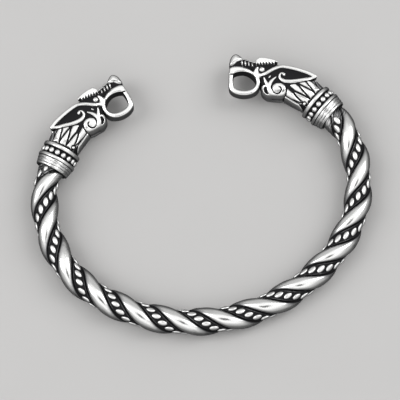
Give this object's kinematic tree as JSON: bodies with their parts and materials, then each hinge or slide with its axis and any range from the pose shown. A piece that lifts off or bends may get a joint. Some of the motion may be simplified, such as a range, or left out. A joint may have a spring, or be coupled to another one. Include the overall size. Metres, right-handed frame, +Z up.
{
  "type": "arm ring",
  "caption": "Open arm ring for the wrist: a twist of smooth and beaded strands, closed by beaded collars and beast heads whose open mouths face each other across the gap.",
  "frame": {"origin": "middle of the ring's footprint, on the floor that it lies on", "axes": "+X along the ring's width towards the right head, +Y from the back of the ring to the gap between the heads, +Z up through the wrist opening"},
  "size_m": [0.0754, 0.0614, 0.0087],
  "materials": {
    "smooth_strand": "polished",
    "beaded_strand": "oxidised dark, beads polished",
    "collar": "polished, grooves oxidised",
    "head": "polished relief, ground oxidised"
  },
  "bodies": {
    "root": {"smooth_strand_1": "smooth_strand", "smooth_strand_2": "smooth_strand", "beaded_strand_1": "beaded_strand", "beaded_strand_2": "beaded_strand", "left_collar": "collar", "right_collar": "collar", "left_head": "head", "right_head": "head"}
  },
  "joints": []
}
